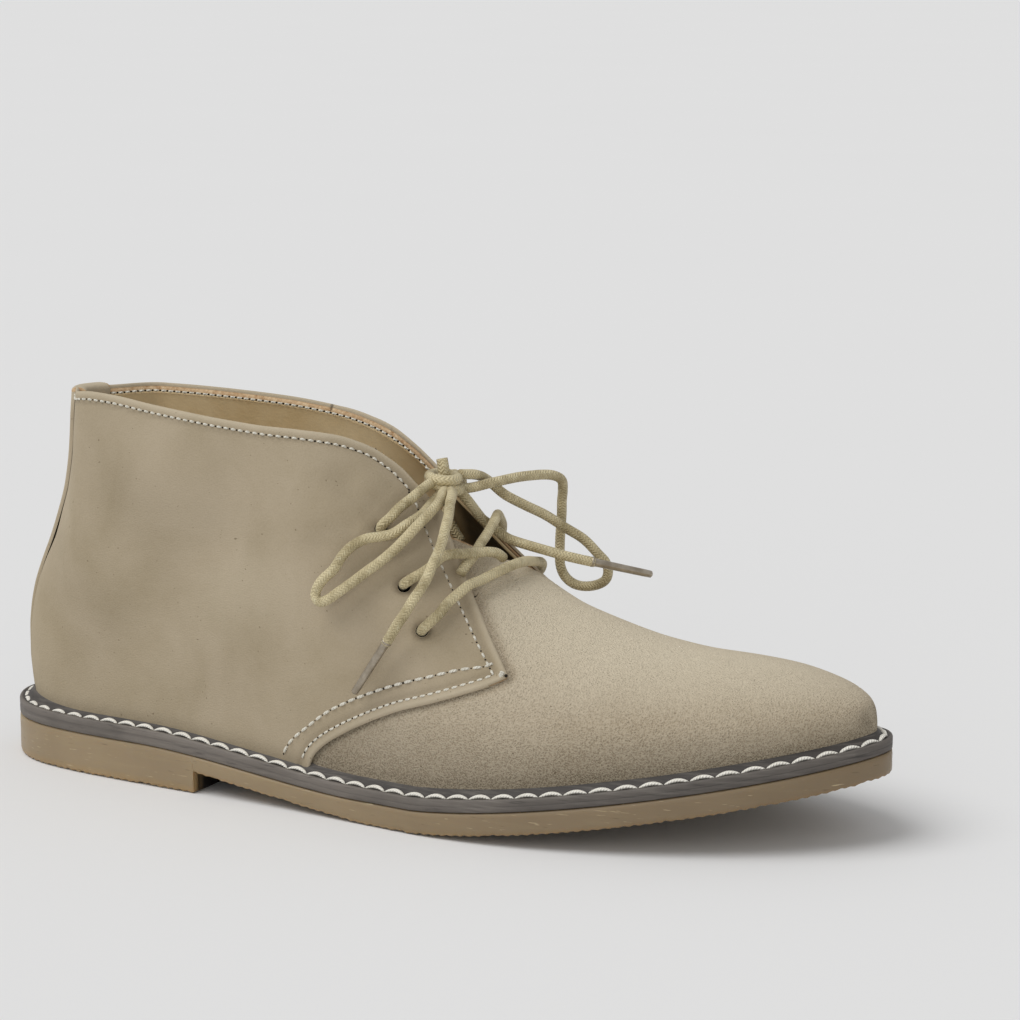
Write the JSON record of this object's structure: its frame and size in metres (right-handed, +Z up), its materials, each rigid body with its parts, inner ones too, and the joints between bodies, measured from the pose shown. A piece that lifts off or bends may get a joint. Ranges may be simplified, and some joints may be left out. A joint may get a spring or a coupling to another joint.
{
  "type": "chukka boot",
  "caption": "Low lace-up ankle boot for the right foot: hollow nubuck upper with facings over a plain vamp, bow-tied round lace, stitched welt and gum rubber sole with a low heel.",
  "frame": {"origin": "on the floor, under the middle of the sole's length and width", "axes": "+X from heel to toe, +Y to the inner (medial) side of the foot, +Z up"},
  "size_m": [0.302, 0.102, 0.1229],
  "materials": {
    "gum_rubber": "translucent brown gum rubber, faint moulded grain, soft sheen",
    "welt_rubber": "dark grey, matt, softly scratched",
    "sock_leather": "smooth tan lining leather",
    "nubuck": "taupe nubuck with a short nap, matt, lighter and darker patches",
    "cord": "round waxed braid, olive beige",
    "aglet_metal": "grey-brown metal tube, dull"
  },
  "bodies": {
    "root": {"outsole": "gum_rubber", "welt": "welt_rubber", "insole": "sock_leather", "upper": "nubuck", "tongue": "nubuck", "backstay": "nubuck", "lace_crossing": "cord", "lace_low_bar": "cord", "lace_riser_outer": "cord", "lace_riser_inner": "cord", "lace_knot": "cord", "lace_loop_outer": "cord", "lace_loop_inner": "cord", "lace_end_outer": "cord", "lace_end_inner": "cord", "aglet_outer": "aglet_metal", "aglet_inner": "aglet_metal"}
  },
  "joints": []
}
